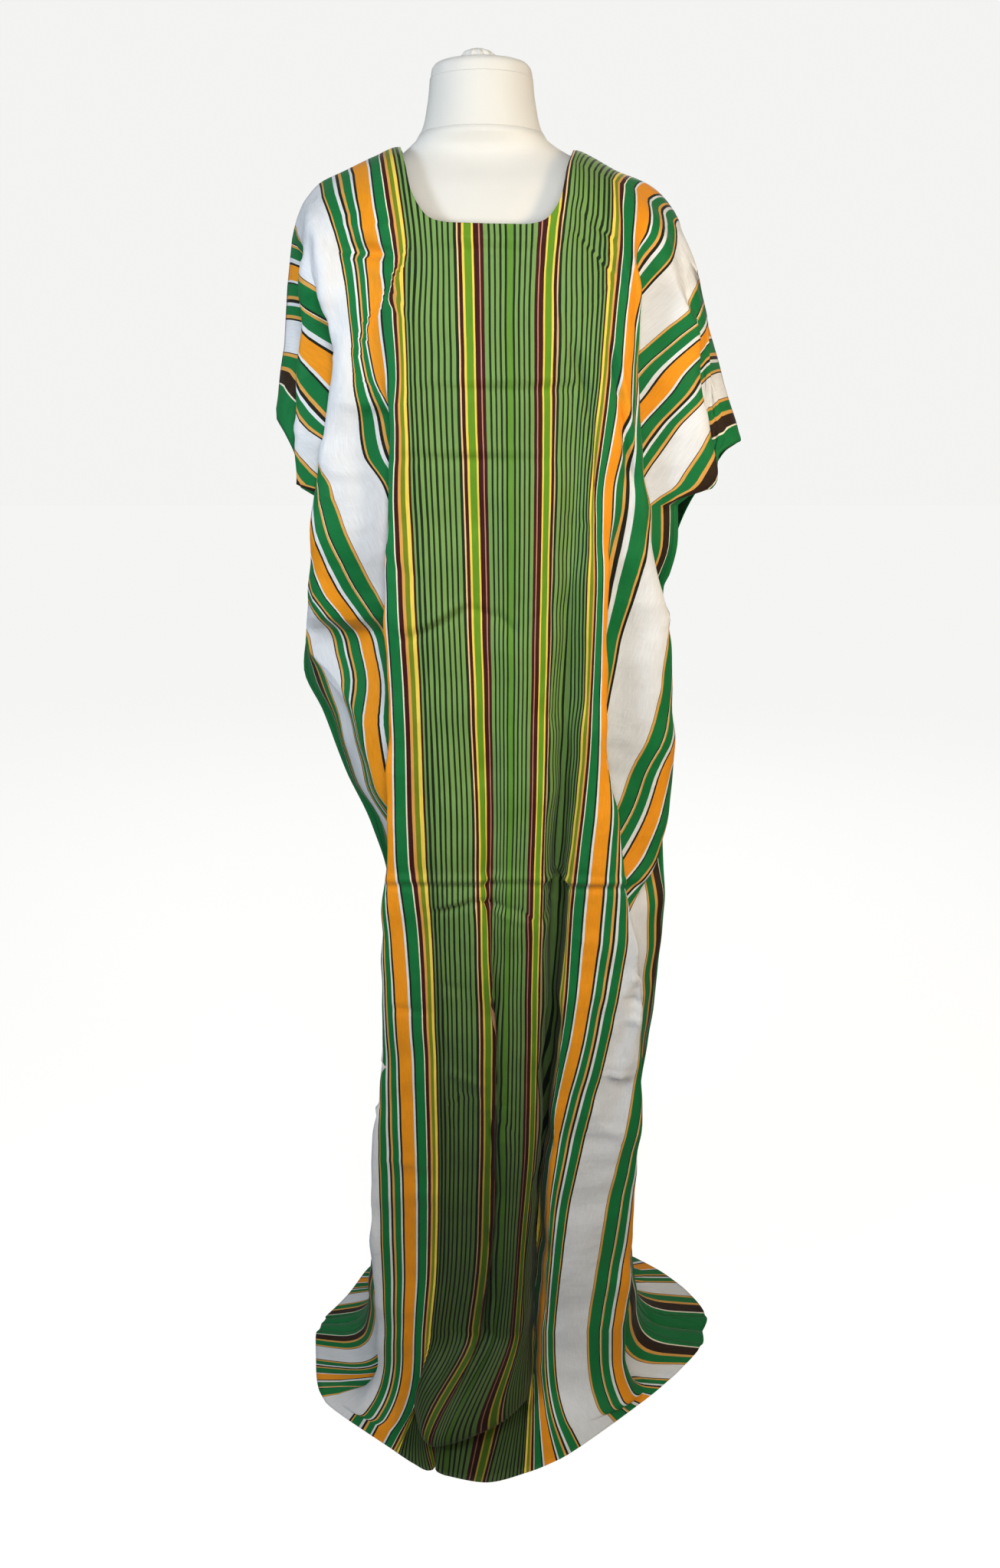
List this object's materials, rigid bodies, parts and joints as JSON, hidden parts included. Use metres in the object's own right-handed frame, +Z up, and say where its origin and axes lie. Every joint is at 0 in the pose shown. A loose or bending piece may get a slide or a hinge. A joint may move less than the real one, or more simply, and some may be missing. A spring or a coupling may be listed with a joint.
{
  "type": "baati dress on dress form",
  "caption": "Loose striped cotton baati dress, folded over the shoulders with cut-in-one sleeves and a round neck, resting on a limbless dress form and spreading on the floor.",
  "frame": {"origin": "on the floor under the middle of the dress form's base", "axes": "+Z up, the front of the dress faces -Y"},
  "size_m": [0.5812, 0.5153, 1.6455],
  "materials": {
    "front": "matte",
    "back": "matte",
    "form": "matte",
    "metal": "satin"
  },
  "bodies": {
    "root": {"front": "front", "back": "back", "form_torso": "form", "form_neck": "form", "form_cap": "form", "form_knob": "form", "form_pole": "metal", "form_base": "metal"}
  },
  "joints": []
}
